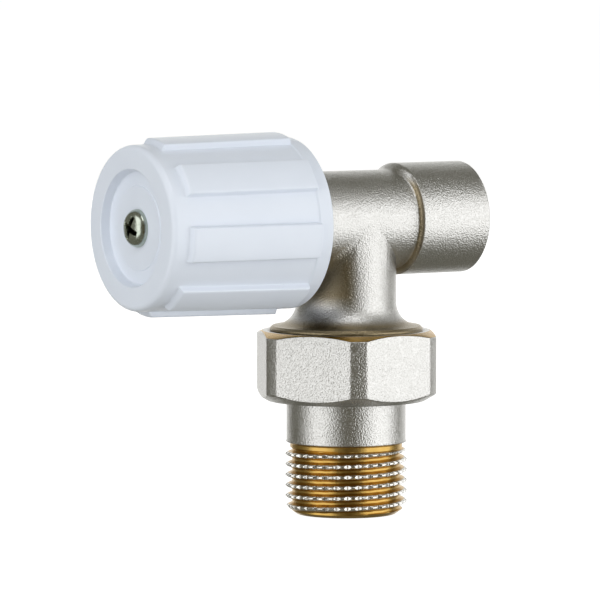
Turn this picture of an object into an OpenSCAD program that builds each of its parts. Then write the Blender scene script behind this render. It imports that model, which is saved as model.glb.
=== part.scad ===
// Angled radiator valve with a hand knob, in millimetres.
// Origin: centre of the tailpiece's end face. +Z up the tailpiece, +X towards the pipe socket, so the knob
// points along -X. The knob is drawn screwed fully in, with the rubber disc on its seat.

/* [Layout] */
// Height of the knob and socket axis above the tailpiece's end face
axis_height = 50.75; // [48:0.25:60]
// Distance from the neck axis to the open end of the barrel, under the knob
barrel_reach = 16.5; // [15:0.5:20]
// Distance from the neck axis to the step where the socket starts
step_reach = 9.87; // [9.5:0.1:14]
// Distance from the neck axis to the knob's rear rim when the valve is closed
knob_reach = 12; // [10.5:0.25:13]

/* [Tailpiece] */
// Length of the tailpiece, collar included
tail_length = 23.7; // [20:0.1:25]
// Outside diameter of the half inch radiator thread
tail_thread_d = 20.955; // [20.5:0.005:21.5]
// Length of the radiator thread, end chamfer included
tail_thread_length = 12.6; // [8:0.1:15]
// Height of the chamfer at the tailpiece's end
tail_chamfer = 1.9; // [0.5:0.1:2]
// Diameter of the plain shank above the thread
shank_d = 20.64; // [19.5:0.02:20.64]
// Water bore of the tailpiece
tail_bore_d = 14; // [12.5:0.1:16]
// Width across flats of the fitting key's hexagon inside the tailpiece
key_af = 12; // [10:0.5:12]
// Length of the fitting key's hexagon
key_length = 8; // [4:0.5:10]
// Diameter of the collar that the union nut pulls on
collar_d = 23.7; // [23:0.1:24]
// Thickness of the collar
collar_height = 1.5; // [1:0.1:2]

/* [Union] */
// Outside diameter of the union thread on the body
union_thread_d = 26.44; // [26:0.02:27]
// Length of the union thread on the body
union_thread_length = 7; // [6:0.1:9]
// Thickness of the flat union seal
union_seal_thickness = 1.5; // [1:0.1:2]
// Width of the flat union seal, inside to outside
union_seal_width = 3.4; // [2:0.1:3.6]
// Width across flats of the union nut
nut_af = 29.5; // [29:0.1:31]
// Diameter over the union nut's rounded corners
nut_corner_d = 32.5; // [31.5:0.1:33]
// Height of the union nut
nut_height = 12.1; // [11:0.1:13]
// Thickness of the union nut's inner lip under the collar
nut_lip = 2.5; // [2:0.1:3]
// Angle at which the tight nut's first corner stands, from +X
nut_angle = 4.6; // [0:0.1:59.9]

/* [Body] */
// Outside diameter of the barrel
barrel_d = 17.2; // [17:0.05:18.2]
// Outside diameter of the neck below the barrel
neck_d = 17.3; // [16.5:0.05:18]
// Radius of the flare between the neck and the union thread
flare_radius = 4.05; // [2:0.05:4.5]
// Radius of the concave corner at the socket's step
step_radius = 0.9; // [0.3:0.05:1]
// Outside diameter of the pipe socket
socket_d = 19.42; // [19:0.02:20]
// Length of the pipe socket from the step to its end face
socket_length = 13.93; // [13:0.01:16]
// Bore of the pipe socket, for 15 mm copper tube
socket_bore_d = 15.1; // [15:0.02:15.4]
// Depth to which the tube goes into the socket
socket_depth = 12; // [10:0.25:13]
// Bore of the neck
neck_bore_d = 13; // [11:0.25:13.5]
// Wider bore at the union end of the body
union_bore_d = 17; // [14:0.25:18]
// Depth of that wider bore, its cone included
union_bore_depth = 7; // [4:0.25:9]
// Wall of the barrel round the valve chamber
chamber_wall = 1.7; // [1.5:0.05:1.8]
// Wall of the barrel round the bonnet's thread
thread_wall = 1.2; // [1:0.05:1.4]
// Length along the barrel of the slope that leads up to the socket's top
slope_length = 1.8; // [1.5:0.1:4]

/* [Seat] */
// Distance of the seat's face behind the edge of the neck bore
seat_setback = 0.1; // [0.05:0.05:0.5]
// Height of the seat's raised lip
seat_lip_height = 1; // [0.5:0.1:1.5]
// Width of the seat's raised lip
seat_lip_width = 1.2; // [0.8:0.1:1.2]
// Width of the flat step round the seat's raised lip
seat_land = 0.7; // [0.4:0.05:0.9]
// Distance that the disc lifts off the seat when the valve is fully open
lift = 3; // [2:0.25:3.5]

/* [Headwork] */
// Length of the bonnet's thread inside the barrel
bonnet_thread_length = 7; // [5:0.25:8]
// How much narrower than the barrel the bonnet's hexagon is across its flats
bonnet_hex_inset = 0.2; // [0:0.1:1]
// Height of the bonnet's hexagon
bonnet_hex_height = 3; // [2:0.25:3.5]
// Thickness of the flat seal under the bonnet's hexagon
bonnet_seal_thickness = 1; // [0.5:0.1:1.5]
// Outside diameter of the bonnet's neck around the packing
gland_neck_d = 13; // [12.5:0.1:14]
// Thread diameter of the spindle
spindle_thread_d = 8; // [7.5:0.1:8.4]
// Diameter of the spindle's plain stem
stem_d = 6; // [5.5:0.1:6.4]
// Thickness of the web that stops the spindle's thread
stop_web = 1; // [0.8:0.1:1.5]
// Distance from the outer face of the bonnet's hexagon back to the spindle's shoulder, valve closed
shoulder_depth = 3.5; // [3:0.1:4]
// Free travel left at the shoulder when the valve is fully open
travel_spare = 0.4; // [0.2:0.1:0.8]
// Outside diameter of the packing ring
packing_d = 10; // [9.5:0.1:10.4]
// Height of the pressed packing ring
packing_height = 2.4; // [2:0.1:3]
// Thickness of the thrust washer on the packing
gland_washer_thickness = 0.6; // [0.5:0.1:1]
// Length of the gland nut's thread
gland_thread_length = 2; // [1.5:0.1:2.5]
// Width across flats of the gland nut
gland_af = 12; // [11:0.5:13]
// Height of the gland nut's head
gland_head_height = 2.2; // [1.5:0.1:2.5]

/* [Disc] */
// Thickness of the rubber disc
disc_thickness = 2.5; // [2:0.1:3]
// Height by which the rubber disc stands out of its holder
disc_proud = 0.8; // [0.5:0.1:1.2]
// Thickness of the holder's plate
holder_plate = 1.5; // [1:0.1:2]
// Wall of the holder's rim around the rubber disc
holder_rim = 0.35; // [0.25:0.05:0.4]
// Thread diameter of the stud that carries the rubber disc
stud_d = 4; // [3:0.5:4]
// Wall of the nut on the stud, from the stud to its flats
disc_nut_wall = 1.5; // [1:0.1:1.7]
// Height of the nut on the stud
disc_nut_height = 2.2; // [1.8:0.1:3]
// Diameter of the holder's pivot inside the spindle
pivot_d = 4.9; // [4:0.1:5]
// Length of the holder's pivot
pivot_length = 6; // [5:0.1:7]
// Wire diameter of the ring that keeps the pivot in the spindle
clip_wire_d = 0.8; // [0.6:0.05:0.9]

/* [Knob] */
// Length of the knob
knob_length = 31.3; // [30:0.1:36]
// Diameter of the knob at its front edge, between the ribs
knob_front_d = 28.1; // [27.5:0.1:29]
// Diameter of the knob at its rear rim
knob_rear_d = 29.4; // [28.5:0.1:31]
// Wall of the knob
knob_wall = 2; // [1.6:0.1:2.4]
// Rounding of the knob's front edge
knob_edge = 1; // [0.5:0.1:1.8]
// Number of grip ribs
rib_count = 8; // [6:1:12]
// Width of one rib
rib_width = 6; // [3:0.1:7]
// Height of the ribs over the grooves between them
rib_height = 1.05; // [0.6:0.05:1.5]
// Length over which a rib's front end slopes up
rib_slope = 0.5; // [0:0.1:1.5]
// Plain length of knob in front of the ribs
rib_front_gap = 3; // [2:0.1:5]
// Plain length of knob behind the ribs
rib_rear_gap = 3; // [2:0.1:5]
// Height of the small step from the grooves up to the rear rim
rim_step = 0.15; // [0.1:0.05:0.4]
// Angle of the first rib, from straight up towards -Y
rib_start = 8.7; // [0:0.1:44.9]
// Diameter of the front recess at the front face
recess_d = 19.9; // [18:0.1:22]
// Depth of the front recess
recess_depth = 1.6; // [1:0.1:2.4]
// Narrowing of the recess over its depth, on each side
recess_draft = 0.4; // [0:0.1:0.8]
// Diameter of the faint raised disc on the recess floor
floor_disc_d = 14.4; // [12:0.1:16]
// Height of the faint raised disc
floor_disc_height = 0.15; // [0.1:0.05:0.3]
// Diameter of the hub inside the knob
hub_d = 11; // [10:0.5:13]
// Width across flats of the spindle's square end
square_af = 4.8; // [4.6:0.1:5]
// Gap between the hub and the gland nut when the valve is closed
hub_gap = 2.5; // [1:0.1:3]
// Thickness of the webs between the hub and the shell
web_thickness = 1.2; // [0.8:0.1:2]
// Number of those webs
web_count = 4; // [3:1:6]

/* [Knob screw] */
// Thread diameter of the screw
screw_d = 4; // [3:0.5:4]
// Diameter of the screw's head
screw_head_d = 6.5; // [6:0.1:8]
// Height of the screw's head
screw_head_height = 1.9; // [1.6:0.1:2.4]
// Rounding of the head's shoulder
screw_head_round = 0.8; // [0.3:0.1:0.9]
// Length of the screw's thread inside the spindle
screw_grip = 5; // [3:0.5:6]
// Width of the cross recess
cross_width = 1; // [0.8:0.05:1.2]
// Length of the cross recess
cross_length = 3.8; // [3:0.1:4.5]
// Depth of the cross recess
cross_depth = 1.3; // [0.8:0.1:1.5]
// Turn of the cross recess
cross_turn = 25; // [0:1:89]

/* [Clearances] */
// Radial gap of every turning, sliding or screwed fit
fit_gap = 0.05; // [0.02:0.01:0.1]
// Radial gap of the nut's lip around the radiator thread and shank
lip_gap = 0.25; // [0.15:0.05:0.4]
// Radial gap of the rubber disc's holder in the chamber
chamber_gap = 0.35; // [0.3:0.05:0.5]
// Free play of the retaining ring in its groove
clip_play = 0.1; // [0.05:0.05:0.15]
// Small chamfer on turned edges
edge = 0.4; // [0.2:0.1:0.5]

/* [Hidden] */
$fn = 96;
// Overlap that keeps cuts and joined solids clean
eps = 0.02;

nickel = [0.80, 0.79, 0.76];
brass = [0.80, 0.66, 0.36];
rubber = [0.12, 0.12, 0.13];
fibre = [0.62, 0.30, 0.22];
ptfe = [0.93, 0.93, 0.90];
zinc = [0.70, 0.72, 0.70];
white_plastic = [0.90, 0.92, 0.95];

// Heights along the tailpiece and the union
tail_r = tail_thread_d / 2;
collar_bottom = tail_length - collar_height;
nut_bottom = collar_bottom - nut_lip;
nut_top = nut_bottom + nut_height;
nut_lip_r = tail_r + lip_gap;
body_bottom = tail_length + union_seal_thickness;
flange_top = body_bottom + union_thread_length;
union_r = union_thread_d / 2;
union_bore_r = union_r + fit_gap;
nut_chamfer_low = 1.5;
nut_chamfer_high = 0.8;
nut_foot_r = nut_corner_d / 2 - 2.55;
nut_crown_r = nut_corner_d / 2 - 1.75;

// Distances along the knob's axis, counted from the neck axis towards the knob
socket_end = -(step_reach + socket_length);
tube_stop = socket_end + socket_depth;
seat_reach = neck_bore_d / 2 + seat_setback;
chamber_r = barrel_d / 2 - chamber_wall;
bonnet_thread_r = barrel_d / 2 - thread_wall;
port_r = chamber_r - seat_land - seat_lip_width;
chamber_end = barrel_reach - bonnet_thread_length;
hex_start = barrel_reach + bonnet_seal_thickness;
hex_end = hex_start + bonnet_hex_height;

// The rubber disc, its holder and the spindle's inner end
disc_front = -seat_reach;
disc_back = disc_front + disc_thickness;
plate_back = disc_back + holder_plate;
holder_r = chamber_r - chamber_gap;
disc_r = holder_r - holder_rim;
disc_nut_af = stud_d + 2 * disc_nut_wall;
pivot_end = plate_back + pivot_length;
clip_reach = pivot_end - 1.2;
clip_groove = clip_wire_d + 2 * clip_play;
stud_end = disc_front - disc_nut_height - 0.3;

// The spindle inside the bonnet
thread_r = spindle_thread_d / 2;
stem_r = stem_d / 2;
bonnet_af = barrel_d - bonnet_hex_inset;
shoulder = hex_end - shoulder_depth;
stop_face = shoulder + lift + travel_spare;
packing_start = stop_face + stop_web;
packing_end = packing_start + packing_height;
washer_end = packing_end + gland_washer_thickness;
gland_neck_end = washer_end + gland_thread_length;
gland_end = gland_neck_end + gland_head_height;

// The knob and its screw
knob_front = knob_reach + knob_length;
floor_level = knob_front - recess_depth;
inner_face = floor_level - knob_wall;
hub_start = gland_end + hub_gap;
spindle_tip = inner_face - 1;
rib_start_z = knob_reach + rib_rear_gap;
rib_end_z = knob_front - rib_front_gap;
groove_rear_r = knob_rear_d / 2 - rim_step;
screw_tip = spindle_tip - screw_grip;

// Moves children from the local axis to the knob's axis: local z runs to the knob, local x runs up
module on_knob_axis() {
    translate([0, 0, axis_height]) rotate([0, -90, 0]) children();
}

// Plain round bar from one distance to another
module bar(r, from, to) {
    translate([0, 0, from]) cylinder(r = r, h = to - from);
}

// Hexagon bar of a given width across flats
module hex_bar(af, from, to) {
    translate([0, 0, from]) cylinder(r = af / 2 / cos(30), h = to - from, $fn = 6);
}

// Hexagon with turned corners: two cones bound it at its ends
module turned_hex(af, corner_r, low_r, low_h, high_r, high_h, from, to) {
    intersection() {
        hex_bar(af, from, to);
        rotate_extrude() polygon([[0, from], [low_r, from], [corner_r, from + low_h],
                                  [corner_r, to - high_h], [high_r, to], [0, to]]);
    }
}

// Flat ring
module ring(r_in, r_out, from, to) {
    difference() {
        bar(r_out, from, to);
        bar(r_in, from - 1, to + 1);
    }
}

// Points of an arc about [r, z], as used in turned outlines
function arc(centre, radius, from, to, steps = 8) =
    [for (i = [0:steps]) let (a = from + (to - from) * i / steps)
        [centre[0] + radius * cos(a), centre[1] + radius * sin(a)]];

// Tailpiece: chamfered end, radiator thread as its outside cylinder, shank, and collar under the seal
module tailpiece() {
    color(nickel) difference() {
        rotate_extrude() polygon([
            [0, 0], [tail_r - tail_chamfer, 0], [tail_r, tail_chamfer], [tail_r, tail_thread_length],
            [shank_d / 2, tail_thread_length], [shank_d / 2, collar_bottom], [collar_d / 2, collar_bottom],
            [collar_d / 2, tail_length], [0, tail_length]]);
        bar(tail_bore_d / 2, -1, tail_thread_length);
        hex_bar(key_af, tail_thread_length - 1, tail_length);
        bar(tail_bore_d / 2, tail_thread_length + key_length, tail_length + 1);
    }
}

// Flat seal between the collar and the body
module union_seal() {
    color(fibre) ring(collar_d / 2 - fit_gap - union_seal_width, collar_d / 2 - fit_gap,
                      tail_length, body_bottom);
}

// Union nut: turned hexagon, inner lip under the collar, thread as a plain bore
module union_nut() {
    color(nickel) rotate([0, 0, nut_angle]) difference() {
        turned_hex(nut_af, nut_corner_d / 2, nut_foot_r, nut_chamfer_low, nut_crown_r, nut_chamfer_high,
                   nut_bottom, nut_top);
        bar(nut_lip_r, nut_bottom - 1, nut_top);
        bar(collar_d / 2 + lip_gap, collar_bottom, nut_top);
        bar(union_bore_r, tail_length + fit_gap, nut_top + 1);
        translate([0, 0, nut_top - edge]) cylinder(r1 = union_bore_r, r2 = union_bore_r + edge + eps,
                                                   h = edge + eps);
    }
}

// Outside of the barrel and socket, with the concave step between them
module barrel_solid() {
    socket_r = socket_d / 2;
    barrel_r = barrel_d / 2;
    rotate_extrude() polygon(concat(
        [[0, socket_end], [socket_r - edge, socket_end], [socket_r, socket_end + edge],
         [socket_r, -step_reach]],
        arc([barrel_r + step_radius, -step_reach + step_radius], step_radius, 270, 180),
        [[barrel_r, barrel_reach - edge], [barrel_r - edge, barrel_reach], [0, barrel_reach]]));
}

// Slope on top of the barrel: a slightly thinner round bar, tilted so that it rises to just under the
// socket's top
module top_slope() {
    rise = (socket_d - barrel_d) / 2;
    tilt = atan(rise / slope_length);
    bar_r = barrel_d / 2 - 0.75;
    intersection() {
        translate([socket_d / 2 - 3 * eps, 0, -step_reach]) rotate([0, -tilt, 0])
            translate([-bar_r, 0, 0]) bar(bar_r, -2 * rise, 3 * slope_length);
        translate([0, -socket_d / 2, -step_reach - eps]) cube([socket_d, socket_d, step_reach]);
    }
}

// Neck, flare and union thread, turned about the tailpiece's axis
module neck_solid() {
    neck_r = neck_d / 2;
    flare_edge = union_r - edge;
    rotate_extrude() polygon(concat(
        [[0, axis_height], [neck_r, axis_height]],
        arc([neck_r + flare_radius, flange_top + edge / 2 + flare_radius], flare_radius, 180, 270, 12),
        [[flare_edge, flange_top + edge / 2], [union_r, flange_top - edge / 2],
         [union_r, body_bottom + 2 * edge], [union_r - 2 * edge, body_bottom], [0, body_bottom]]));
}

// Valve body: one forging with its socket, port, raised seat, chamber, bonnet thread and neck bore
module valve_body() {
    seat_root = -seat_reach - seat_lip_height;
    color(nickel) difference() {
        union() {
            on_knob_axis() {
                barrel_solid();
                top_slope();
            }
            neck_solid();
        }
        on_knob_axis() {
            bar(socket_bore_d / 2, socket_end - 1, tube_stop);
            translate([0, 0, socket_end - eps]) cylinder(r1 = socket_bore_d / 2 + edge + eps,
                                                         r2 = socket_bore_d / 2, h = edge + eps);
            bar(port_r, tube_stop - 1, 0);
            ring(port_r + seat_lip_width, chamber_r, seat_root, -seat_reach);
            bar(chamber_r, -seat_reach, chamber_end + 1);
            bar(bonnet_thread_r, chamber_end, barrel_reach + 1);
        }
        bar(neck_bore_d / 2, body_bottom - 1, axis_height);
        rotate_extrude() polygon([
            [0, body_bottom - 1], [union_bore_d / 2, body_bottom - 1],
            [union_bore_d / 2, body_bottom + union_bore_depth - (union_bore_d - neck_bore_d) / 2],
            [neck_bore_d / 2, body_bottom + union_bore_depth], [0, body_bottom + union_bore_depth]]);
    }
}

// Bonnet: thread into the barrel, hexagon, and neck that holds the packing and the gland nut
module bonnet() {
    color(brass) on_knob_axis() difference() {
        union() {
            bar(bonnet_thread_r - fit_gap, chamber_end + fit_gap, hex_start + eps);
            turned_hex(bonnet_af, bonnet_af / 2 / cos(30) - 0.4, bonnet_af / 2, 0.8, bonnet_af / 2, 0.8,
                       hex_start, hex_end);
            bar(gland_neck_d / 2, hex_end - eps, gland_neck_end);
        }
        bar(thread_r + fit_gap, chamber_end - 1, stop_face);
        bar(stem_r + fit_gap, stop_face - 1, packing_start + 1);
        bar(packing_d / 2, packing_start, gland_neck_end + 1);
    }
}

// Flat seal between the barrel's end and the bonnet's hexagon
module bonnet_seal() {
    color(fibre) on_knob_axis() ring(bonnet_thread_r + fit_gap, barrel_d / 2 - edge,
                                     barrel_reach, hex_start);
}

// Packing pressed round the stem
module packing_ring() {
    color(ptfe) on_knob_axis() ring(stem_r + fit_gap / 2, packing_d / 2 - fit_gap,
                                    packing_start, packing_end);
}

// Thrust washer between the packing and the gland nut
module gland_washer() {
    color(brass) on_knob_axis() ring(stem_r + fit_gap, packing_d / 2 - fit_gap, packing_end, washer_end);
}

// Gland nut: hollow screw with a hexagon head
module gland_nut() {
    color(brass) on_knob_axis() difference() {
        union() {
            bar(packing_d / 2 - fit_gap, washer_end, gland_neck_end + eps);
            turned_hex(gland_af, gland_af / 2 / cos(30) - 0.2, gland_af / 2, 0.5, gland_af / 2, 0.6,
                       gland_neck_end, gland_end);
        }
        bar(stem_r + fit_gap, washer_end - 1, gland_end + 1);
    }
}

// Jumper: plate and rim round the rubber disc, threaded stud in front, grooved pivot behind
module jumper() {
    color(brass) on_knob_axis() {
        difference() {
            union() {
                bar(holder_r, disc_front + disc_proud, plate_back);
                bar(pivot_d / 2, plate_back - eps, pivot_end);
            }
            bar(disc_r, disc_front, disc_back);
            ring(pivot_d / 2 - clip_wire_d / 2 - clip_play, pivot_d, clip_reach - clip_groove / 2,
                 clip_reach + clip_groove / 2);
        }
        bar(stud_d / 2, stud_end, disc_back + eps);
    }
}

// Open wire ring that sits in the pivot's groove and reaches into the spindle's groove
module jumper_clip() {
    opening = 60;
    color("silver") on_knob_axis() translate([0, 0, clip_reach]) rotate([0, 0, opening / 2])
        rotate_extrude(angle = 360 - opening) translate([pivot_d / 2, 0]) circle(d = clip_wire_d, $fn = 24);
}

// Rubber disc that closes on the seat
module disc_washer() {
    color(rubber) on_knob_axis() ring(stud_d / 2 + fit_gap, disc_r - fit_gap, disc_front, disc_back);
}

// Nut that holds the rubber disc on the stud
module disc_nut() {
    color(brass) on_knob_axis() difference() {
        hex_bar(disc_nut_af, disc_front - disc_nut_height, disc_front);
        bar(stud_d / 2 + fit_gap, stud_end - 1, disc_front + 1);
    }
}

// Spindle: hollow inner end round the pivot, thread as a cylinder, stem, square end and screw hole
module spindle() {
    color(brass) on_knob_axis() difference() {
        union() {
            bar(thread_r, plate_back, shoulder);
            bar(stem_r, shoulder - eps, hub_start + eps);
            intersection() {
                bar(stem_r, hub_start, spindle_tip);
                translate([-square_af / 2, -square_af / 2, hub_start])
                    cube([square_af, square_af, spindle_tip - hub_start]);
            }
        }
        bar(pivot_d / 2 + fit_gap, plate_back - 1, pivot_end + 0.5);
        bar(pivot_d / 2 + clip_wire_d / 2 + clip_play, clip_reach - clip_groove / 2,
            clip_reach + clip_groove / 2);
        bar(screw_d / 2 + fit_gap, screw_tip - 1, spindle_tip + 1);
    }
}

// Radius of the knob between its ribs: it narrows in a straight line from the rear rim to the front edge
function groove_r(z) = groove_rear_r
    + (knob_front_d / 2 - groove_rear_r) * (z - rib_start_z) / (knob_front - knob_edge - rib_start_z);

// Turned outline of the knob's shell: rear rim, grooves' floor, rounded front edge, recess, hollow back
module knob_shell() {
    front_r = knob_front_d / 2;
    rear_r = knob_rear_d / 2;
    recess_r = recess_d / 2;
    floor_r = floor_disc_d / 2;
    rotate_extrude() polygon(concat(
        [[rear_r - knob_wall, knob_reach], [rear_r - edge, knob_reach], [rear_r, knob_reach + edge],
         [rear_r, rib_start_z - rim_step], [groove_rear_r, rib_start_z]],
        arc([front_r - knob_edge, knob_front - knob_edge], knob_edge, 0, 90),
        [[recess_r, knob_front], [recess_r - recess_draft, floor_level],
         [floor_r, floor_level], [floor_r - floor_disc_height, floor_level + floor_disc_height],
         [0, floor_level + floor_disc_height],
         [0, inner_face], [front_r - knob_wall, inner_face]]));
}

// One grip rib: straight parallel sides, a top that follows the knob's taper, a sloping front end.
// Its ends run on into the knob's wall, so that they cross its surface cleanly.
module grip_rib() {
    root_r = knob_front_d / 2 - knob_wall / 2;
    rear = rib_start_z - 2 * rim_step;
    rear_top = groove_r(rib_start_z) + rib_height;
    front_top = groove_r(rib_end_z) + rib_height;
    front_foot = rib_end_z + rib_slope * (front_top - rib_height - root_r) / rib_height;
    bevel = edge / 2;
    intersection() {
        rotate_extrude() polygon([
            [root_r, rear], [rear_top - bevel, rear], [rear_top, rear + bevel],
            [front_top, rib_end_z - rib_slope], [root_r, front_foot]]);
        translate([0, -rib_width / 2, rear]) cube([knob_rear_d, rib_width, front_foot - rear]);
    }
}

// Knob: shell, grip ribs, and a hub with its webs and square socket
module knob() {
    color(white_plastic) on_knob_axis() difference() {
        union() {
            knob_shell();
            for (i = [0:rib_count - 1]) rotate([0, 0, -rib_start - i * 360 / rib_count]) grip_rib();
            bar(hub_d / 2, hub_start, inner_face + eps);
            for (i = [0:web_count - 1]) rotate([0, 0, i * 360 / web_count])
                translate([0, -web_thickness / 2, (hub_start + inner_face) / 2])
                    cube([knob_front_d / 2 - knob_wall / 2, web_thickness,
                          (inner_face - hub_start) / 2 + eps]);
        }
        intersection() {
            bar(stem_r + fit_gap, hub_start - 1, spindle_tip);
            translate([-square_af / 2 - fit_gap, -square_af / 2 - fit_gap, hub_start - 1])
                cube([square_af + 2 * fit_gap, square_af + 2 * fit_gap, spindle_tip - hub_start + 1]);
        }
        bar(screw_d / 2 + 2 * fit_gap, spindle_tip - 1, knob_front);
    }
}

// Screw: pan head with rounded shoulder, low dome and cross recess, thread as a cylinder
module knob_screw() {
    head_base = floor_level + floor_disc_height;
    head_top = head_base + screw_head_height;
    head_r = screw_head_d / 2;
    shoulder_end = 72;
    shoulder_z = head_top - screw_head_round * 1.35;
    dome_edge = head_r - screw_head_round * (1 - cos(shoulder_end));
    dome_drop = head_top - shoulder_z - screw_head_round * sin(shoulder_end);
    dome_r = (dome_edge * dome_edge + dome_drop * dome_drop) / (2 * dome_drop);
    color(zinc) on_knob_axis() difference() {
        union() {
            bar(screw_d / 2, screw_tip, head_base + eps);
            rotate_extrude() polygon(concat(
                [[0, head_base], [head_r, head_base]],
                arc([head_r - screw_head_round, shoulder_z], screw_head_round, 0, shoulder_end),
                arc([0, head_top - dome_r], dome_r, 90 - asin(dome_edge / dome_r), 90)));
        }
        rotate([0, 0, cross_turn]) for (a = [0, 90]) rotate([0, 0, a])
            translate([-cross_length / 2, -cross_width / 2, head_top - cross_depth])
                cube([cross_length, cross_width, cross_depth + 1]);
    }
}

tailpiece();
union_seal();
union_nut();
valve_body();
bonnet();
bonnet_seal();
packing_ring();
gland_washer();
gland_nut();
jumper();
jumper_clip();
disc_washer();
disc_nut();
spindle();
knob();
knob_screw();
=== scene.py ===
"""Angled radiator valve with a hand knob: the looks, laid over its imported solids.

Sizes are in millimetres and become metres when a mesh is made. The tailpiece's end face is at the origin, +Z
runs up the tailpiece, +X towards the pipe socket, and the knob points along -X.
"""
import math

import bmesh
import bpy
import numpy as np
from mathutils import Matrix, Vector


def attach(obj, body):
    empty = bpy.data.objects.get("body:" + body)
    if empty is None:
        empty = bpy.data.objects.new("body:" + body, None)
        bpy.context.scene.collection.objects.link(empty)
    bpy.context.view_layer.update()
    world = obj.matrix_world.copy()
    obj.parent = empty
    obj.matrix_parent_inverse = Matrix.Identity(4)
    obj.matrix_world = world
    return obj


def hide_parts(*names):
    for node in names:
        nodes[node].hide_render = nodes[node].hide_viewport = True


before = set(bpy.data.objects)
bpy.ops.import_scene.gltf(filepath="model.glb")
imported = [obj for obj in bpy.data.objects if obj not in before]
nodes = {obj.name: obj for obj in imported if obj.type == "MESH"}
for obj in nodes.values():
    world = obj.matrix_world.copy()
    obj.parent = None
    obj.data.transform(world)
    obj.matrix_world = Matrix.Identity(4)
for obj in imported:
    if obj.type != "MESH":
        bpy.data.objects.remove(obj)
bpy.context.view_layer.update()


# Camera
# The valve is photographed through a long lens from just above the knob's height, on the knob's side, so the
# barrel runs across the picture and the knob's front disc shows as a narrow ellipse.

camera_azimuth = math.radians(-32.74)
camera_elevation = math.radians(4.27)
camera_distance = 863.2
look_at = np.array([0.0, 0.0, 50.0])
look_offset = (7.98, 13.0)

towards = np.array([math.sin(camera_azimuth) * math.cos(camera_elevation),
                    -math.cos(camera_azimuth) * math.cos(camera_elevation), math.sin(camera_elevation)])
rightwards = np.array([math.cos(camera_azimuth), math.sin(camera_azimuth), 0.0])
upwards = np.cross(towards, rightwards)
eye = (look_at + towards * camera_distance - rightwards * look_offset[0] - upwards * look_offset[1]) / 1000
camera = bpy.data.objects.new("camera", bpy.data.cameras.new("camera"))
camera.data.lens = 300
camera.data.sensor_width = 36
camera.data.clip_end = 50
turn = Matrix(np.column_stack([rightwards, upwards, towards]).tolist()).to_4x4()
camera.matrix_world = Matrix.Translation(Vector(eye.tolist())) @ turn
bpy.context.scene.collection.objects.link(camera)
bpy.context.scene.camera = camera


# Tailpiece
# A brass tube turned from bar and nickel plated. Its half inch pipe thread is cut and its crests are notched
# all round so that they grip the sealing hemp or tape, which bares brass in the grooves. Inside is the
# hexagon for the key that screws it into the radiator.

tail_thread_r = 10.4775
tail_thread_end = 12.6
tail_chamfer = 1.9
tail_shank_r = 10.32
tail_collar_r = 11.85
tail_collar_base = 22.2
tail_top = 23.7
tail_bore_r = 7.0
key_flat = 6.0
pipe_pitch = 1.814
pipe_depth = 1.162
notches_per_turn = 34
notch_depth = 0.42
thread_start = 0.36
run_out_depth = 0.78


def ease(low, high, x):
    """Runs from 0 at low to 1 at high, and leaves and arrives level: 3t^2 - 2t^3."""
    t = np.clip((x - low) / (high - low), 0, 1)
    return t * t * (3 - 2 * t)


def pipe_thread(turn_share, height):
    """Depth of a right-handed pipe thread at a height and a share of a turn, from 0 on the crest to 1 in the
    root. The distance from the crest along the axis is a triangle wave, clipped to a flank that leaves a
    seventh of it for the crest and a fifth for the root, and the clipped corners are eased round."""
    wave = np.abs((height / pipe_pitch - turn_share) % 1 - 0.5) * 2
    flank = np.clip((wave - 0.14) / 0.66, 0, 1)
    return 0.6 * flank + 0.4 * flank * flank * (3 - 2 * flank)


def polar(radius, angle, height):
    """Points at a radius, an angle about the Z axis and a height, spread to one common grid."""
    radius, angle, height = np.broadcast_arrays(radius, angle, height)
    return np.stack([radius * np.cos(angle), radius * np.sin(angle), height], -1)


def polygon_radius(flat, sides, angle):
    """Distance from the centre to a regular polygon: its flat's distance over the cosine of the angle from
    the nearest flat's middle."""
    step = 2 * math.pi / sides
    return flat / np.cos((angle + step / 2) % step - step / 2)


def solid(name, *sheets, crease=35):
    """A mesh of closed sheets. A sheet is an array of rows, columns and x, y, z in mm. Its columns join all
    round; its first and last row join each other, or each shrinks to one point. Faces run between
    neighbours, and a sheet that encloses a negative volume is turned round to look outwards."""
    points = []
    faces = []
    first = 0
    for sheet in sheets:
        rows, columns = sheet.shape[:2]
        has_poles = np.ptp(sheet[0], axis=0).max() < 1e-9
        index = first + np.arange(rows * columns).reshape(rows, columns)
        lower = index[:-1] if has_poles else index
        upper = index[1:] if has_poles else np.roll(index, -1, axis=0)
        quads = np.stack([lower, np.roll(lower, -1, axis=1), np.roll(upper, -1, axis=1), upper], -1)
        quads = quads.reshape(-1, 4)
        flat = sheet.reshape(-1, 3) / 1000
        a, b, c, d = (flat[quads[:, k] - first] for k in range(4))
        volume = (np.cross(a, b) * c).sum() + (np.cross(a, c) * d).sum()
        faces.append(quads if volume > 0 else quads[:, ::-1])
        points.append(flat)
        first += rows * columns
    mesh = bpy.data.meshes.new(name)
    mesh.from_pydata(np.concatenate(points), [], np.concatenate(faces))
    merged = bmesh.new()
    merged.from_mesh(mesh)
    bmesh.ops.remove_doubles(merged, verts=merged.verts, dist=1e-8)
    bmesh.ops.dissolve_degenerate(merged, edges=merged.edges, dist=1e-8)
    merged.to_mesh(mesh)
    merged.free()
    smooth(mesh, crease)
    piece = bpy.data.objects.new(name, mesh)
    bpy.context.scene.collection.objects.link(piece)
    return piece


def smooth(mesh, crease):
    """Shades a mesh as smooth, except across edges sharper than crease degrees."""
    mesh.polygons.foreach_set("use_smooth", np.ones(len(mesh.polygons), bool))
    mesh.set_sharp_from_angle(angle=math.radians(crease))


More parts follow.
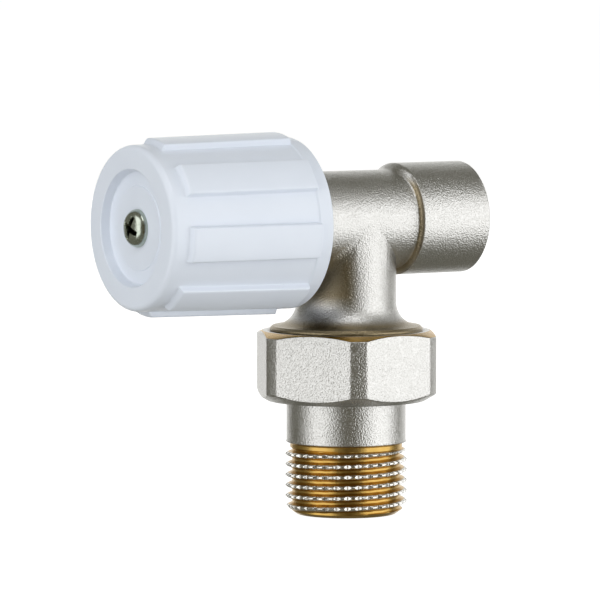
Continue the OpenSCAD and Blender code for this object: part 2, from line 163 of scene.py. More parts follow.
class Wire:
    """A socket of a material. Sums written with it add their Math nodes, and node() adds any other."""

    def __init__(self, tree, socket=None):
        self.tree = tree
        self.socket = socket

    def node(self, kind, settings=(), sockets=(), out=0):
        """Adds a node. Its settings go in first, then the values or wires of its sockets."""
        new = self.tree.nodes.new(kind)
        for key, value in dict(settings).items():
            setattr(new, key, value)
        for key, value in dict(sockets).items():
            if isinstance(value, Wire):
                self.tree.links.new(value.socket, new.inputs[key])
            else:
                new.inputs[key].default_value = value
        return Wire(self.tree, new.outputs[out])

    def math(self, operation, *terms):
        return self.node("ShaderNodeMath", {"operation": operation}, enumerate(terms))

    def __add__(self, other):
        return self.math("ADD", self, other)

    def __sub__(self, other):
        return self.math("SUBTRACT", self, other)

    def __rsub__(self, other):
        return self.math("SUBTRACT", other, self)

    def __mul__(self, other):
        return self.math("MULTIPLY", self, other)

    __radd__ = __add__
    __rmul__ = __mul__

    def size(self):
        """This without its sign."""
        return self.math("ABSOLUTE", self)

    def distance(self, other):
        """How far from the middle a point lies whose two parts are this and the other."""
        total = self * self + other * other
        return total.math("SQRT", total)

    def between(self, low, high):
        """0 below low, 1 above high, eased between them."""
        return self.node("ShaderNodeMapRange", {"interpolation_type": "SMOOTHSTEP"},
                         {"Value": self, "From Min": low, "From Max": high})

    def blend(self, first, second):
        """A colour: the first where this is 0, the second where it is 1."""
        return self.node("ShaderNodeMix", {"data_type": "RGBA"}, {"Factor": self, 6: first, 7: second}, 2)

    def noise(self, size, detail=2, roughness=0.5):
        """Clouded noise on these coordinates, from 0 to 1, whose blotches are size mm across."""
        return self.node("ShaderNodeTexNoise", {}, {"Vector": self, "Scale": 1000 / size, "Detail": detail,
                                                    "Roughness": roughness})

    def parts(self):
        """x, y and z of these coordinates, in mm."""
        return [self.node("ShaderNodeSeparateXYZ", {}, {0: self}, k) * 1000 for k in range(3)]


class Finish:
    """A material: a Principled shader with constants on its sockets, and the piece's own coordinates."""

    def __init__(self, name, **constants):
        self.material = bpy.data.materials.new(name)
        self.material.use_nodes = True
        self.tree = self.material.node_tree
        self.shader = self.tree.nodes["Principled BSDF"]
        for key, value in constants.items():
            self.shader.inputs[key.replace("_", " ")].default_value = value
        self.here = Wire(self.tree).node("ShaderNodeTexCoord", out=3)

    def feed(self, **wires):
        for key, wire in wires.items():
            self.tree.links.new(wire.socket, self.shader.inputs[key.replace("_", " ")])

    def relief(self, height, depth, strength=1.0):
        """Bump of a height that runs from 0 to 1 over a depth in mm."""
        self.feed(Normal=self.here.node("ShaderNodeBump", {}, {"Height": height, "Distance": depth / 1000,
                                                               "Strength": strength}))

    def on(self, piece):
        piece.data.materials.clear()
        piece.data.materials.append(self.material)


nickel_colour = (0.63, 0.63, 0.627, 1)
nickel_shade = (0.49, 0.488, 0.478, 1)
nickel_roughness = 0.28
crest_colour = (0.74, 0.73, 0.71, 1)
brass_colour = (0.62, 0.41, 0.13, 1)
brass_shade = (0.42, 0.26, 0.06, 1)
grain_size = 0.26
grain_detail = 1.5
grain_depth = 0.11


def blasted(finish):
    """The grain that shot blasting leaves, from 0 to 1, and the plate's colour over it."""
    grain = finish.here.noise(grain_size, grain_detail)
    return grain, grain.between(0.25, 0.75).blend(nickel_shade, nickel_colour)


turns = np.arange(notches_per_turn * 16) / (notches_per_turn * 16)
around = turns * 2 * math.pi
thread_z = np.linspace(0, tail_thread_end, 150)[:, None]
cut = pipe_thread(turns, thread_z + thread_start) * (1 - ease(11.2, 12.2, thread_z))
run_out = run_out_depth * ease(10.95, 11.5, thread_z) * (1 - ease(12.2, 12.6, thread_z))
notch = np.clip(1 - np.abs(turns * notches_per_turn % 1 - 0.5) * 2 / 0.62, 0, 1)
crest = tail_thread_r - notch_depth * notch * (1 - ease(10.6, 11.4, thread_z))
chamfered = tail_thread_r - tail_chamfer * (1 - ease(-1.9, 1.9, thread_z)) * 2
thread_r = np.minimum(np.minimum(tail_thread_r - pipe_depth * cut, crest),
                      np.minimum(tail_thread_r - run_out, chamfered))
threaded = polar(thread_r, around, thread_z)
plain = [(tail_shank_r, 12.62), (tail_shank_r, tail_collar_base), (tail_collar_r - 0.1, tail_collar_base),
         (tail_collar_r, tail_collar_base + 0.1), (tail_collar_r, tail_top - 0.1),
         (tail_collar_r - 0.1, tail_top), (tail_bore_r + 0.2, tail_top), (tail_bore_r, tail_top - 0.2),
         (tail_bore_r, 20.6)]
shank = np.stack([polar(r, around, z) for r, z in plain])
key_hexagon = np.stack([polar(polygon_radius(key_flat, 6, around), around, z) for z in (20.55, 12.65)])
bore = np.stack([polar(r, around, z) for r, z in ((tail_bore_r, 12.6), (tail_bore_r, 0.2),
                                                  (tail_bore_r + 0.2, 0))])
tailpiece = solid("tailpiece_turned", np.concatenate([threaded, shank, key_hexagon, bore]), crease=40)

plated = Finish("knurled_thread", Metallic=1.0)
x, y, z = plated.here.parts()
radius = x.distance(y)
bared = (1 - radius.between(9.88, 10.2)) * (1 - z.between(12.2, 12.6)) * radius.between(8.0, 8.4)
burnished = radius.between(10.1, 10.3) * (1 - z.between(11.2, 12.2))
grain, nickel = blasted(plated)
brass = plated.here.noise(1.2).blend(brass_shade, brass_colour)
plated.feed(Base_Color=bared.blend(burnished.blend(nickel, crest_colour), brass),
            Roughness=nickel_roughness + bared * 0.02 - burnished * 0.06)
plated.relief(grain * (1 - 0.85 * (bared + burnished)), grain_depth * 0.9)
plated.on(tailpiece)
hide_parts("tailpiece")
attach(tailpiece, "tail")


# Union nut
# A hexagon nut forged in brass, its corners turned to cones at both ends. It is shot blasted and nickel
# plated, and the chamfer at its top was turned afterwards, so brass shows there.

nut_flat = 14.75
nut_corner_r = 16.25
nut_foot = 19.7
nut_head = 31.8
nut_foot_r = 13.7
nut_crown_r = 14.5
nut_low_chamfer = 1.5
nut_high_chamfer = 0.8
nut_lip_r = 10.73
nut_seat_r = 12.1
nut_thread_r = 13.27
nut_first_corner = math.radians(4.6)


def rounded_corner(before, corner, after, count):
    """Points of a soft corner: the quadratic curve from one point to the next but one, drawn by the corner
    between them. Each point is a pair of arrays, and so is each result."""
    return [tuple((1 - t) ** 2 * a + 2 * t * (1 - t) * b + t * t * c for a, b, c in zip(before, corner, after))
            for t in np.linspace(0, 1, count)]


def soft_least(a, b, softness):
    """The lesser of two values, with the crease between them rounded off over the softness."""
    near = np.clip(1 - np.abs(a - b) / softness, 0, 1)
    return np.minimum(a, b) - softness * near * near / 4


around = np.linspace(0, 2 * math.pi, 720, endpoint=False)
hexagon = soft_least(polygon_radius(nut_flat, 6, around - nut_first_corner - math.pi / 6),
                     np.full_like(around, nut_corner_r), 0.12)
low = nut_foot + (hexagon - nut_foot_r) / (nut_corner_r - nut_foot_r) * nut_low_chamfer
high = nut_head - (hexagon - nut_crown_r) / (nut_corner_r - nut_crown_r) * nut_high_chamfer
cone_low = (hexagon - nut_foot_r) / (low - nut_foot)
cone_high = (hexagon - nut_crown_r) / (nut_head - high)
soft = 0.16
level = np.ones_like(around)
profile = [(nut_lip_r * level, nut_foot * level), ((nut_foot_r - 0.15) * level, nut_foot * level)]
profile += rounded_corner((nut_foot_r * level - 0.1, nut_foot * level), (nut_foot_r * level, nut_foot * level),
                          (nut_foot_r + 0.1 * level, nut_foot + 0.06 * level), 4)
profile += rounded_corner((hexagon - soft * cone_low, low - soft), (hexagon, low), (hexagon, low + soft), 6)
profile += [(hexagon, low + (high - low) * t) for t in np.linspace(0.08, 0.92, 16)]
profile += rounded_corner((hexagon, high - soft), (hexagon, high),
                          (hexagon - soft * 0.5 * cone_high, high + soft * 0.5), 6)
profile += [((nut_crown_r + 0.05) * level, nut_head - 0.02 * level), ((nut_crown_r - 0.1) * level, nut_head * level),
            ((nut_thread_r + 0.4) * level, nut_head * level), (nut_thread_r * level, (nut_head - 0.4) * level),
            (nut_thread_r * level, 23.75 * level), (nut_seat_r * level, 23.75 * level),
            (nut_seat_r * level, tail_collar_base * level), (nut_lip_r * level, tail_collar_base * level)]
union_nut = solid("union_nut_forged", np.stack([polar(r, around, z) for r, z in profile]), crease=30)

nut_plate = Finish("union_nut_nickel", Metallic=1.0)
x, y, z = nut_plate.here.parts()
radius = x.distance(y)
cone = nut_corner_r - (z - (nut_head - nut_high_chamfer)) * ((nut_corner_r - nut_crown_r) / nut_high_chamfer)
on_cone = 1 - (radius - cone).size().between(0.04, 0.12)
turned = on_cone * z.between(nut_head - nut_high_chamfer - 0.05, nut_head - nut_high_chamfer + 0.05)
grain, nickel = blasted(nut_plate)
nut_plate.feed(Base_Color=turned.blend(nickel, brass_shade), Roughness=nickel_roughness - turned * 0.04)
nut_plate.relief(grain * (1 - 0.6 * turned), grain_depth)
nut_plate.on(union_nut)
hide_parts("union_nut")
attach(union_nut, "nut")


# Valve body
# One hot forging in brass: barrel and pipe socket in a line, with the neck, its flare and the union thread
# below. It is bored for seat and bonnet, shot blasted and nickel plated. Where neck and barrel meet, the
# forging has a soft inside radius on the knob's side.

axis_z = 50.75
barrel_r = 8.6
barrel_end = -16.5
step_x = 9.87
step_r = 0.9
socket_r = 9.71
socket_end = 23.8
socket_bore_r = 7.55
tube_stop = 11.8
port_r = 5.0
seat_x = 6.6
seat_lip = (6.2, 1.0)
chamber_r = 6.9
bonnet_thread_r = 7.4
chamber_end = -9.5
slope_length = 1.8
body_foot = 25.2
union_r = 13.22
flare_radius = 4.05
flare_top = 36.65
neck_r = 8.65
neck_bore_r = 6.5
union_bore_r = 8.5
tee_radius = 2.4
# Painted shade: a dark brown laid into the nickel's colour in the step's crease, at the flare's foot above the nut
# and on the neck under the knob.
painted_shade_brown = (0.27, 0.21, 0.11, 1)


def along_barrel(x, radius, angle):
    """Points at a distance along the barrel's axis, a radius and an angle about it, from straight up."""
    x, radius, angle = np.broadcast_arrays(x, radius, angle)
    return np.stack([x, -radius * np.sin(angle), axis_z + radius * np.cos(angle)], -1)


def arc(centre, radius, start, end, count):
    """Pairs on a circle about a centre, from one angle to another in degrees."""
    swing = np.radians(np.linspace(start, end, count))
    return np.column_stack([centre[0] + radius * np.cos(swing), centre[1] + radius * np.sin(swing)])


def combined(base, *steps):
    """Joins or cuts a piece with others in turn, keeps the result as its mesh and removes the others."""
    for operation, other in steps:
        change = base.modifiers.new(operation, "BOOLEAN")
        change.operation = operation
        change.solver = "EXACT"
        change.object = other
    scene = bpy.context.evaluated_depsgraph_get()
    mesh = bpy.data.meshes.new_from_object(base.evaluated_get(scene))
    base.modifiers.clear()
    base.data = mesh
    for operation, other in steps:
        bpy.data.objects.remove(other)
    return base


around = np.linspace(0, 2 * math.pi, 480, endpoint=False)
step = arc((step_x - step_r, barrel_r + step_r), step_r, 270, 360, 14)
step = np.concatenate([step, [(step_x, socket_r - 0.12)], arc((step_x + 0.12, socket_r - 0.12), 0.12, 180, 90, 5)])
share = np.linspace(0, 1, len(step))[:, None]
slope_x = step_x - slope_length + share * (slope_length + 0.12)
slope_r = barrel_r + (socket_r - barrel_r) * ease(0, 1, share)
from_top = np.abs((around + math.pi) % (2 * math.pi) - math.pi)
fade = 1 - ease(math.radians(14), math.radians(52), from_top)
shoulder = along_barrel(step[:, :1] * (1 - fade) + slope_x * fade, step[:, 1:] * (1 - fade) + slope_r * fade, around)
ends = [[(barrel_end, 0), (barrel_end, barrel_r - 0.4), (barrel_end + 0.4, barrel_r)]
        + [(x, barrel_r) for x in np.linspace(barrel_end + 0.8, step_x - slope_length - 0.1, 24)],
        [(x, socket_r) for x in np.linspace(step_x + 0.4, socket_end - 0.4, 14)]
        + [(socket_end, socket_r - 0.4), (socket_end, 0)]]
knob_side, pipe_side = (np.stack([along_barrel(x, r, around) for x, r in end]) for end in ends)
valve_body = solid("valve_body_forged", np.concatenate([knob_side, shoulder, pipe_side]))

around = np.linspace(0, 2 * math.pi, 576, endpoint=False)
thread_z = np.linspace(body_foot + 0.8, 32.0, 62)[:, None]
union_thread = polar(union_r - pipe_depth * pipe_thread(around / (2 * math.pi), thread_z - 1.9)
                     * (1 - ease(31.0, 31.9, thread_z)), around, thread_z)
flare = arc((neck_r + flare_radius, flare_top), flare_radius, 270, 180, 22)
foot_rows = [(0, body_foot), (union_r - 0.8, body_foot)]
neck_rows = [(union_r, 32.2), (union_r - 0.4, 32.6)] + flare.tolist()
neck_rows += [(neck_r, 38.0), (neck_r, 40.0), (neck_r, 42.0), (neck_r - 0.1, axis_z - 0.5), (0, axis_z - 0.5)]
foot_part, neck_part = (np.stack([polar(r, around, z) for r, z in rows]) for rows in (foot_rows, neck_rows))
neck = solid("neck", np.concatenate([foot_part, union_thread, neck_part]))

around = np.linspace(0, 2 * math.pi, 256, endpoint=False)
lip_r, lip_height = seat_lip
bore_rows = [(socket_end + 1, 0), (socket_end + 1, socket_bore_r + 1.4), (socket_end - 0.4, socket_bore_r),
             (tube_stop, socket_bore_r), (tube_stop, port_r), (seat_x, port_r), (seat_x, lip_r),
             (seat_x + lip_height, lip_r), (seat_x + lip_height, chamber_r), (chamber_end, chamber_r),
             (chamber_end, bonnet_thread_r), (barrel_end - 1, bonnet_thread_r), (barrel_end - 1, 0)]
barrel_bore = solid("barrel_bore", np.stack([along_barrel(x, r, around) for x, r in bore_rows]))
waterway_rows = [(0, body_foot - 1), (union_bore_r, body_foot - 1), (union_bore_r, 30.2), (neck_bore_r, 32.2),
                 (neck_bore_r, axis_z - 0.01), (0, axis_z - 0.01)]
neck_bore = solid("neck_bore", np.stack([polar(r, around, z) for r, z in waterway_rows]))
combined(valve_body, ("UNION", neck), ("DIFFERENCE", barrel_bore), ("DIFFERENCE", neck_bore))
smooth(valve_body.data, 30)

# The inside radius between neck and barrel is the path of a ball that rolls along both: its centre stays
# tee_radius off each, and the surface is the ball's arc from one point of touch to the other.
limit = math.asin((barrel_r + tee_radius) / (neck_r + tee_radius)) - 0.002
heading = math.pi + np.linspace(-limit, limit, 121)[:, None]
centre_r = neck_r + tee_radius
centre = polar(centre_r, heading, axis_z - np.sqrt((barrel_r + tee_radius) ** 2 - (centre_r * np.sin(heading)) ** 2))
touch_neck = polar(neck_r, heading, centre[..., 2])
off_barrel = (centre - (0, 0, axis_z)) * (0, 1, 1) * (barrel_r / (barrel_r + tee_radius))
touch_barrel = off_barrel + centre * (1, 0, 0) + (0, 0, axis_z)
start = (touch_neck - centre) / tee_radius
finish = (touch_barrel - centre) / tee_radius
spread = np.arccos(np.clip((start * finish).sum(-1, keepdims=True), -1, 1))
t = np.linspace(0, 1, 16)[None, :, None]
ball = centre + tee_radius * (np.sin((1 - t) * spread) * start + np.sin(t * spread) * finish) / np.sin(spread)
inside_neck = polar(neck_r - 0.6, heading, centre[..., 2] - 0.3)
inside_barrel = touch_barrel - off_barrel * (0.6 / barrel_r)
root = (inside_neck + inside_barrel) / 2 + (0, 0, 0.6)
strip = np.concatenate([ball, inside_barrel, root, inside_neck], axis=1)
ends = [np.broadcast_to(strip[k].mean(0), strip[k].shape)[None] for k in (0, -1)]
tee_round = solid("tee_round", np.concatenate([ends[0], strip, ends[1]]), crease=60)

cast = Finish("valve_body_nickel", Metallic=1.0)
x, y, z = cast.here.parts()
z = z - axis_z
radius = y.distance(z)
# Painted shade in the rounded crease where the barrel steps up to the socket, left off at the top.
on_step = radius.between(barrel_r + 0.02, barrel_r + 0.15) * x.between(step_x - step_r, step_x - step_r + 0.25)
step_painted_shade = on_step * (1 - x.between(step_x - 0.03, step_x + 0.08)) * (1 - z.between(5.6, 8.0))
# Painted shade in a band at the flare's foot, just above the union nut.
foot_painted_shade = 1 - z.between(32.9 - axis_z, 34.2 - axis_z)
# Painted shade on the side of the neck that faces the knob, where the knob shades it.
on_neck = z.between(35.5 - axis_z, 38.5 - axis_z) * (1 - z.between(43.0 - axis_z, 48.0 - axis_z))
neck_painted_shade = on_neck * (1 - x.between(-4.9, -2.5))
# The three painted shade masks together blend the nickel towards the painted shade's brown.
painted_shade_mask = step_painted_shade * 0.85 + (1 - step_painted_shade) * (foot_painted_shade * 0.9 + (1 - foot_painted_shade) * neck_painted_shade * 0.85)
grain, nickel = blasted(cast)
cast.feed(Base_Color=painted_shade_mask.blend(nickel, painted_shade_brown), Roughness=nickel_roughness + cast.here.noise(5.0) * 0.04)
cast.relief(grain, grain_depth)
for piece in (valve_body, tee_round):
    cast.on(piece)
    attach(piece, "valve")
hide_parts("valve_body")


# Headwork
# Bonnet, gland nut, thrust washer, spindle, jumper and its nut are turned from brass bar and left bright, with
# fine tool marks round their axis. They keep the shapes of their solids.

turned_brass = Finish("turned_brass", Metallic=1.0)
x, y, z = turned_brass.here.parts()
ring_marks = x.node("ShaderNodeTexNoise", {"noise_dimensions": "1D"}, {"W": x, "Scale": 9.0, "Detail": 3.0})
stain = turned_brass.here.noise(2.5)
turned_brass.feed(Base_Color=stain.blend(brass_shade, brass_colour), Roughness=0.22 + ring_marks * 0.2)
turned_brass.relief(ring_marks, 0.01, 0.5)
for name in ("bonnet", "gland_nut", "gland_washer", "spindle", "jumper", "disc_nut"):
    turned_brass.on(nodes[name])


# Seals and rubber disc
# The flat seals are pressed fibre, the packing is a white ring with the feel of wax, and the disc on the
# jumper is black rubber, slightly dusty.

fibre = Finish("seal_fibre", Roughness=0.75)
fleck = fibre.here.noise(0.4, 4, 0.7)
fibre.feed(Base_Color=fleck.blend((0.30, 0.07, 0.04, 1), (0.50, 0.17, 0.10, 1)))
fibre.relief(fleck, 0.03, 0.6)
for name in ("union_seal", "bonnet_seal"):
    fibre.on(nodes[name])

packing = Finish("white_packing", Roughness=0.4)
wax = packing.here.noise(0.8, 3)
packing.feed(Base_Color=wax.blend((0.75, 0.74, 0.70, 1), (0.88, 0.88, 0.85, 1)))
packing.relief(wax, 0.02, 0.5)
packing.on(nodes["packing_ring"])

rubber = Finish("disc_rubber")
dust = rubber.here.noise(0.6, 4)
rubber.feed(Base_Color=dust.blend((0.015, 0.015, 0.016, 1), (0.05, 0.05, 0.05, 1)), Roughness=0.55 + dust * 0.2)
rubber.relief(dust, 0.01, 0.5)
rubber.on(nodes["disc_washer"])


# Retaining ring
# Drawn spring wire, bent to an open ring, with a dull bright surface.

wire = Finish("spring_wire", Metallic=1.0)
drawn = wire.here.noise(0.15, 2)
wire.feed(Base_Color=drawn.blend((0.30, 0.30, 0.31, 1), (0.50, 0.50, 0.50, 1)), Roughness=0.3 + drawn * 0.1)
wire.on(nodes["jumper_clip"])


# Knob
# Moulded in stiff white plastic with a slight blue cast, satin all over. Eight ribs with parallel sides and
# soft edges give grip, the front has a shallow round recess for the screw, and a hub inside takes the
# spindle's square. Four webs tie the hub to the front.

knob_rear = 12.0
knob_front = 43.3
rear_r = 14.7
front_r = 14.05
groove_rear_r = 14.55
wall = 2.0
edge_round = 1.0
rear_round = 0.4
rib_count = 8
rib_half = 3.0
rib_height = 1.05
rib_rear = 14.72
rib_front = 40.3
rib_slope = 0.55
rib_first = math.radians(8.7)
rib_soft = 0.34
root_soft = 0.18
recess_r = 9.95
recess_depth = 1.6
recess_draft = 0.4
floor_disc_r = 7.2
floor_disc_height = 0.15
inner_face = 39.7
hub_r = 5.5
hub_rear = 31.1
square_half = 2.45
square_r = 3.05
square_end = 38.7
screw_hole_r = 2.1
web_rear = 35.4
web_half = 0.6


def groove_radius(z):
    """Radius between the ribs: a straight taper from the rear band to the front edge."""
    return groove_rear_r + (front_r - groove_rear_r) * (z - 15.0) / (knob_front - edge_round - 15.0)


def knob_section(groove, height):
    """Across one eighth of the knob, as offsets along and out from a rib's middle: from the middle of the rib
    over its soft edge, down its parallel side and out along the groove. Stations are rows; where the height
    is nothing, the rib melts into the groove's circle."""
    top = groove + height
    side = np.sqrt(top ** 2 - rib_half ** 2) - np.sqrt(groove ** 2 - rib_half ** 2)
    soft = np.minimum(rib_soft, side * 0.45 + 1e-4)
    root = np.minimum(root_soft, side * 0.3 + 1e-4)
    across = [t * (rib_half - soft) for t in np.linspace(0, 1, 9)]
    out = [np.sqrt(top ** 2 - a ** 2) for a in across]
    wall_a = rib_half + 0 * groove
    upper = np.sqrt(top ** 2 - rib_half ** 2)
    lower = np.sqrt(groove ** 2 - rib_half ** 2)
    edge = rounded_corner((across[-1], out[-1]), (wall_a, upper), (wall_a, upper - soft), 7)[1:]
    floor_a = rib_half + root
    foot = rounded_corner((wall_a, lower + root), (wall_a, lower), (floor_a, np.sqrt(groove ** 2 - floor_a ** 2)), 6)
    pairs = list(zip(across, out)) + edge + foot
    begin = np.arctan2(floor_a, np.sqrt(groove ** 2 - floor_a ** 2))
    for t in np.linspace(0, 1, 9)[1:]:
        angle = begin + (math.pi / rib_count - begin) * t
        pairs.append((groove * np.sin(angle), groove * np.cos(angle)))
    return np.array([p[0] for p in pairs]), np.array([p[1] for p in pairs])


def around_knob(across, out, z):
    """Carries one eighth's half section, mirrored, to every rib about the knob's axis. Angles run from
    straight up towards -Y, and z is the distance from the neck's axis towards the knob."""
    angle = np.arctan2(across, out)
    radius = np.hypot(across, out)
    angle = np.concatenate([-angle[:0:-1], angle[:-1]])
    radius = np.concatenate([radius[:0:-1], radius[:-1]])
    turn = rib_first + np.arange(rib_count)[:, None, None] * (2 * math.pi / rib_count)
    angle = (angle[None] + turn).reshape(-1, angle.shape[-1]).T
    radius = np.tile(radius, (rib_count, 1)).T
    return along_barrel(-np.asarray(z)[:, None], radius, angle)


rear_corner = arc((rear_r - rear_round, knob_rear + rear_round), rear_round, 270, 360, 7)
outline = [(z, r, 0.0) for r, z in rear_corner]
outline += [(13.4, rear_r, 0.0), (14.5, rear_r, 0.0)]
rise = rounded_corner((14.62, 0.0), (14.70, 0.02), (14.74, 0.45), 5) + rounded_corner(
    (14.78, rib_height - 0.25), (14.80, rib_height), (15.05, rib_height), 7)
outline += [(z, rear_r + (groove_radius(z) - rear_r) * float(ease(14.6, 15.05, z)), h) for z, h in rise]
outline += [(z, groove_radius(z), rib_height) for z in np.linspace(15.6, 39.2, 40)]
fall = rounded_corner((39.45, rib_height), (39.78, rib_height), (39.95, rib_height * 0.65), 7) + rounded_corner(
    (40.12, rib_height * 0.28), (40.26, 0.0), (40.5, 0.0), 7)
outline += [(z, groove_radius(z), h) for z, h in fall]
outline += [(z, groove_radius(z), 0.0) for z in (40.8, 41.3, 41.8)]
outline += [(z, r, 0.0) for r, z in arc((front_r - edge_round, knob_front - edge_round), edge_round, 0, 90, 12)]
outline = np.array(outline)
skin = around_knob(*knob_section(outline[:, 1], outline[:, 2]), outline[:, 0])
columns = skin.shape[1]
spokes = np.arctan2(-(skin[0, :, 1]), skin[0, :, 2] - axis_z)
floor_z = knob_front - recess_depth
face = [(knob_front, recess_r + 0.9), (knob_front, recess_r + 0.3)]
face += [(z, r) for r, z in rounded_corner((recess_r + 0.22, knob_front), (recess_r, knob_front),
                                           (recess_r - 0.03, knob_front - 0.2), 5)]
face += [(z, r) for r, z in rounded_corner((recess_r - recess_draft + 0.05, floor_z + 0.2),
                                           (recess_r - recess_draft, floor_z),
                                           (recess_r - recess_draft - 0.2, floor_z), 5)]
face += [(floor_z, r) for r in (9.0, 8.2, floor_disc_r + 0.05)]
face += [(floor_z + floor_disc_height, r) for r in (floor_disc_r - 0.12, 6.0, 4.5, 3.2, screw_hole_r + 0.05)]
face += [(floor_z + floor_disc_height - 0.05, screw_hole_r), (square_end, screw_hole_r)]
front = np.stack([along_barrel(-z, r, spokes) for z, r in face])
quarter = (spokes + math.pi / 4) % (math.pi / 2) - math.pi / 4
square = np.minimum(square_half / np.cos(quarter), square_r)
socket = np.stack([along_barrel(-z, square, spokes) for z in (square_end - 0.01, hub_rear + 0.2)])
hollow = [(hub_rear, square_r + 0.35), (hub_rear, hub_r - 0.2), (hub_rear + 0.2, hub_r), (inner_face - 0.4, hub_r),
          (inner_face, hub_r + 0.4), (inner_face, front_r - wall - 0.5), (inner_face - 0.5, front_r - wall),
          (30.0, 12.27), (20.0, 12.5), (knob_rear + 0.2, rear_r - wall), (knob_rear, rear_r - wall + 0.2)]
back = np.stack([along_barrel(-z, r, spokes) for z, r in hollow])
webs = []
for quarter_turn in range(4):
    across = np.array([-1, -1, -1, 1, 1, 1]) * web_half
    out = np.array([hub_r - 0.6, 8.0, 12.4, 12.4, 8.0, hub_r - 0.6])
    angle = np.arctan2(across, out) + quarter_turn * math.pi / 2
    rows = [along_barrel(-z, np.hypot(across, out), angle) for z in (web_rear, 37.0, inner_face + 0.3)]
    caps = [np.broadcast_to(rows[k].mean(0), rows[k].shape) for k in (0, -1)]
    webs.append(np.stack([caps[0], *rows, caps[1]]))
knob = solid("knob_moulded", np.concatenate([skin, front, socket, back]), *webs, crease=40)

plastic = Finish("white_knob_plastic", Roughness=0.36, IOR=1.5)
cloud = plastic.here.noise(6.0, 2)
pores = plastic.here.noise(0.35, 3)
plastic.feed(Base_Color=cloud.blend((0.73, 0.79, 0.90, 1), (0.77, 0.83, 0.94, 1)), Roughness=0.28 + pores * 0.1)
plastic.relief(pores, 0.012, 0.4)
plastic.on(knob)
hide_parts("knob")
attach(knob, "handwheel")


# Knob screw
# A steel pan head screw, zinc plated and passivated to a greenish grey, with a pressed cross recess. It
# clamps the knob to the spindle's end.

head_r = 3.25
head_base = 41.85
head_top = 43.75
head_dome = 0.8
head_round = 1.0
cross_half_width = 0.58
cross_half_length = 2.2
cross_depth = 1.3
cross_turn = math.radians(25)
shank_r = 2.0
screw_tip = 33.7


def head_height(radius):
    """Height of the pan head over a radius: a low dome that falls with its square, less a quarter round at
    the shoulder."""
    dome = head_top - head_dome * (radius / head_r) ** 2
    inset = np.clip(radius - (head_r - head_round), 0, head_round)
    return dome - (head_round - np.sqrt(np.maximum(head_round ** 2 - inset ** 2, 0)))


def cross_cut(across, along):
    """Depth of one slot of the cross recess: its sides lean in with depth, its floor slopes up to the ends."""
    width = cross_half_width * (1 - 0.25 * np.abs(along) / cross_half_length)
    side = np.clip((width - np.abs(across)) / 0.16, 0, 1)
    end = np.clip((cross_half_length - np.abs(along)) / 1.1, 0, 1)
    return cross_depth * side * end


around = np.linspace(0, 2 * math.pi, 360, endpoint=False)
cross_reach = cross_half_length + 0.2
reach = np.concatenate([np.linspace(0, cross_reach, 64),
                        cross_reach + (head_r - cross_reach) * np.sin(np.radians(np.linspace(3, 90, 20)))])[:, None]
along = reach * np.cos(around - cross_turn)
across = reach * np.sin(around - cross_turn)
sunk = np.maximum(cross_cut(across, along), cross_cut(along, across))
head = along_barrel(-(head_height(reach) - sunk), reach, around)
stem = np.stack([along_barrel(-z, r, around) for z, r in
                 ((head_base + 0.05, head_r), (head_base, head_r - 0.05), (head_base, shank_r),
                  (screw_tip + 0.5, shank_r), (screw_tip, shank_r - 0.5), (screw_tip, 0.0))])
knob_screw = solid("knob_screw_pressed", np.concatenate([head, stem]), crease=45)

passivated = Finish("passivated_zinc", Metallic=1.0)
x, y, z = passivated.here.parts()
# Painted shade: the cross recess is coloured near black, for the shade that falls inside it.
cross_painted_shade = (1 - y.distance(z - axis_z).between(2.1, 2.3)) * x.between(0.42 - head_top, 0.6 - head_top)
bloom = passivated.here.noise(0.7, 3)
plate = bloom.blend((0.36, 0.41, 0.35, 1), (0.60, 0.64, 0.58, 1))
passivated.feed(Base_Color=cross_painted_shade.blend(plate, (0.05, 0.05, 0.03, 1)), Roughness=0.17 + bloom * 0.1)
passivated.relief(passivated.here.noise(0.2, 2), 0.01, 0.4)
passivated.on(knob_screw)
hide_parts("knob_screw")
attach(knob_screw, "handwheel")


# Floor and lights
# A seamless pale bowl that only the camera sees, a tall soft box on each side, one overhead for the flare, and a
# lit backdrop behind for the edges. Soft fills lift the white knob. A sheet in front glows a dim brown and only
# reflections see it: a painted dark reflection that keeps the metal dark and brownish between the boxes.

bowl_r = 2000.0
bowl_round = 700.0
bowl_top = 5000.0


def stage_sheet(name, points, finish, seen_in):
    """A sheet of the stage from rows and columns of points in mm, which one kind of ray alone sees."""
    rows, columns = points.shape[:2]
    index = np.arange(rows * columns).reshape(rows, columns)
    quads = np.stack([index[:-1, :-1], index[:-1, 1:], index[1:, 1:], index[1:, :-1]], -1).reshape(-1, 4)
    mesh = bpy.data.meshes.new(name)
    mesh.from_pydata(points.reshape(-1, 3) / 1000, [], quads)
    smooth(mesh, 80)
    sheet = bpy.data.objects.new(name, mesh)
    bpy.context.scene.collection.objects.link(sheet)
    finish.on(sheet)
    for ray in ("camera", "diffuse", "glossy", "transmission", "shadow"):
        setattr(sheet, "visible_" + ray, ray == seen_in)


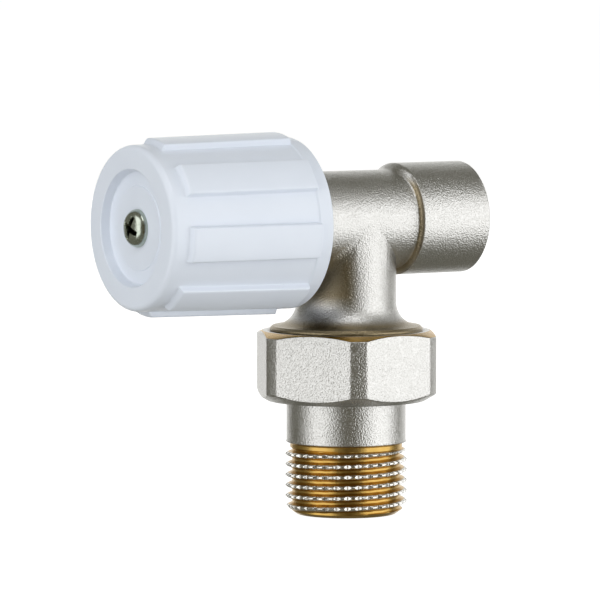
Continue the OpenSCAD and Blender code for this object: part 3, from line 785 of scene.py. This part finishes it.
def soft_box(name, azimuth, elevation, width, height, brightness):
    """A rectangular lamp a metre away that faces the valve, from an azimuth and elevation in degrees."""
    a, e = math.radians(azimuth), math.radians(elevation)
    place = Vector((math.sin(a) * math.cos(e), -math.cos(a) * math.cos(e), math.sin(e)))
    lamp = bpy.data.lights.new(name, "AREA")
    lamp.shape = "RECTANGLE"
    lamp.size, lamp.size_y = width, height
    lamp.energy = brightness * math.pi * width * height
    box = bpy.data.objects.new(name, lamp)
    box.location = place + Vector((0, 0, 0.045))
    box.rotation_euler = place.to_track_quat("Z", "Y").to_euler()
    box.visible_camera = False
    bpy.context.scene.collection.objects.link(box)
    return box


paper = Finish("pale_paper", Base_Color=(0, 0, 0, 1), Emission_Color=(1, 1, 1, 1), Emission_Strength=1.0)
around = np.linspace(0, 2 * math.pi, 97)
bowl = [(0, 0), (bowl_r / 2, 0), *arc((bowl_r, bowl_round), bowl_round, 270, 360, 15),
        (bowl_r + bowl_round, bowl_top)]
stage_sheet("floor", np.stack([polar(r, around, z - 0.02) for r, z in bowl]), paper, "camera")

# Painted reflection: a sheet in front glows a dim brown, and only glossy rays see it.
reflection_glow = Finish("painted_reflection_glow", Base_Color=(0, 0, 0, 1), Emission_Color=(0.08, 0.06, 0.025, 1), Emission_Strength=1.0)
glow_sheet = [[(-900, -1100, -550), (-200, -1100, -550)], [(-900, -1100, 550), (-200, -1100, 550)]]
stage_sheet("painted_reflection_sheet", np.array(glow_sheet, float), reflection_glow, "glossy")

soft_box("right_box", 38, 2, 1.36, 1.4, 1.56)
soft_box("left_box", -87, 10, 1.06, 1.7, 1.42)
soft_box("backdrop", 142, 3, 1.7, 1.15, 1.0)
soft_box("crown_box", -8, 62, 0.5, 0.5, 2.6).visible_diffuse = False
for name, *shape in (("front_fill", -33, 12, 2.0, 1.6, 0.3), ("low_fill", -33, -40, 1.6, 1.0, 0.38),
                     ("top_fill", 0, 80, 1.2, 1.2, 0.5)):
    soft_box(name, *shape).visible_glossy = False
world = bpy.data.worlds.new("studio")
world.use_nodes = True
world.node_tree.nodes["Background"].inputs["Color"].default_value = (1, 0.96, 0.78, 1)
world.node_tree.nodes["Background"].inputs["Strength"].default_value = 0.19
bpy.context.scene.world = world
bpy.context.scene.view_settings.view_transform = "Standard"
